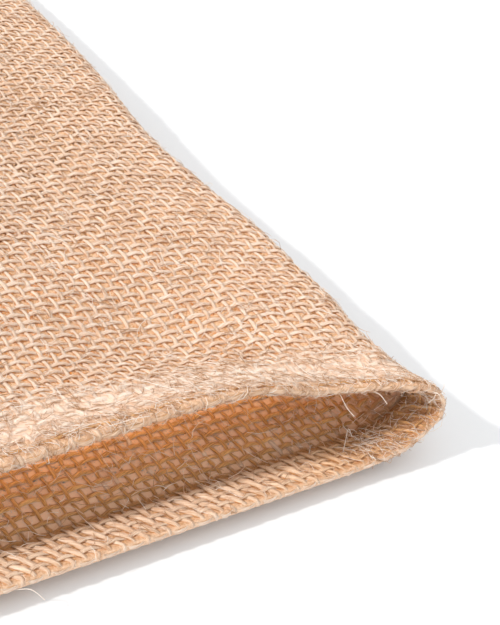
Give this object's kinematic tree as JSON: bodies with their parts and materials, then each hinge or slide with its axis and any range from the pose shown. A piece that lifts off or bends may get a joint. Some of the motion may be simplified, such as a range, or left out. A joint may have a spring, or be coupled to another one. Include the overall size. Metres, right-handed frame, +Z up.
{
  "type": "jute sack",
  "caption": "Small open-weave jute sack lying flat and empty, folded along one side, seamed along the other and the bottom, with a plain turned hem and a gaping mouth.",
  "frame": {"origin": "middle of the footprint, on the surface that the sack lies on", "axes": "+Y from the mouth towards the closed bottom, +Z up, +X along the mouth from the seamed side to the folded side"},
  "size_m": [0.2499, 0.4, 0.023],
  "materials": {
    "jute": "natural plain-woven jute, matt and fuzzy"
  },
  "bodies": {
    "root": {"sack": "jute"}
  },
  "joints": []
}
